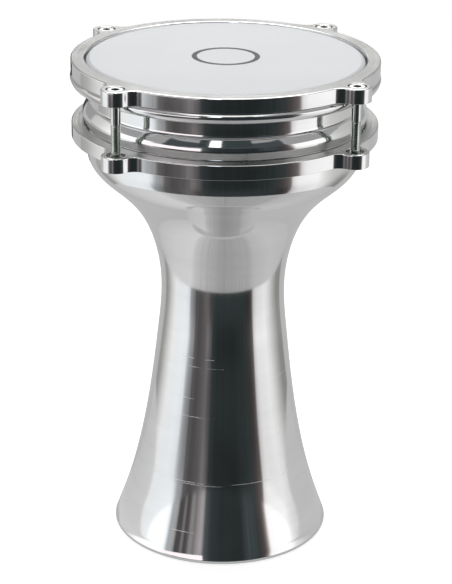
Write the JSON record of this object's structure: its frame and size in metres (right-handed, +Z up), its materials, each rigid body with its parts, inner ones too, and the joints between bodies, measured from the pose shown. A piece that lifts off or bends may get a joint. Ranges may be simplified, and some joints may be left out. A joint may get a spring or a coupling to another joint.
{
  "type": "goblet drum",
  "caption": "Metal goblet drum with a flared foot, a film head in a hoop, and two lugged rings drawn together by socket-head tension bolts.",
  "frame": {"origin": "centre of the foot, on the floor", "axes": "+Z up along the drum's axis; the lugs lie on the diagonals between X and Y, and -Y is the front"},
  "size_m": [0.2514, 0.2514, 0.4165],
  "materials": {
    "shell_aluminium": "polished, fine turning marks",
    "ring_aluminium": "polished sides, satin top",
    "hoop_aluminium": "polished",
    "film_white": "milky film, soft gloss",
    "glue_amber": "cured resin",
    "bolt_zinc": "zinc plated"
  },
  "bodies": {
    "drum_body": {"shell": "shell_aluminium", "lower_ring": "ring_aluminium"},
    "head_clamp": {"upper_ring": "ring_aluminium", "head_film": "film_white", "flesh_hoop": "hoop_aluminium", "hoop_glue": "glue_amber"},
    "bolt_front_left": {"tension_bolt_front_left": "bolt_zinc"},
    "bolt_front_right": {"tension_bolt_front_right": "bolt_zinc"},
    "bolt_back_left": {"tension_bolt_back_left": "bolt_zinc"},
    "bolt_back_right": {"tension_bolt_back_right": "bolt_zinc"}
  },
  "joints": [
    {"name": "ring_lift", "type": "slide", "parent": "drum_body", "child": "head_clamp", "axis": [0, 0, 1], "range_m": [0, 0.0025]},
    {"name": "turn_front_left", "type": "hinge", "parent": "head_clamp", "child": "bolt_front_left", "pos_m": [-0.09277, -0.09277, 0.408], "axis": [0, 0, 1], "range_deg": [0, 720]},
    {"name": "turn_front_right", "type": "hinge", "parent": "head_clamp", "child": "bolt_front_right", "pos_m": [0.09277, -0.09277, 0.408], "axis": [0, 0, 1], "range_deg": [0, 720]},
    {"name": "turn_back_left", "type": "hinge", "parent": "head_clamp", "child": "bolt_back_left", "pos_m": [-0.09277, 0.09277, 0.408], "axis": [0, 0, 1], "range_deg": [0, 720]},
    {"name": "turn_back_right", "type": "hinge", "parent": "head_clamp", "child": "bolt_back_right", "pos_m": [0.09277, 0.09277, 0.408], "axis": [0, 0, 1], "range_deg": [0, 720]}
  ],
  "couplings": [
    {"joint": "turn_front_left", "follows": "ring_lift", "rad_per_m": 5026.5},
    {"joint": "turn_front_right", "follows": "ring_lift", "rad_per_m": 5026.5},
    {"joint": "turn_back_left", "follows": "ring_lift", "rad_per_m": 5026.5},
    {"joint": "turn_back_right", "follows": "ring_lift", "rad_per_m": 5026.5}
  ]
}
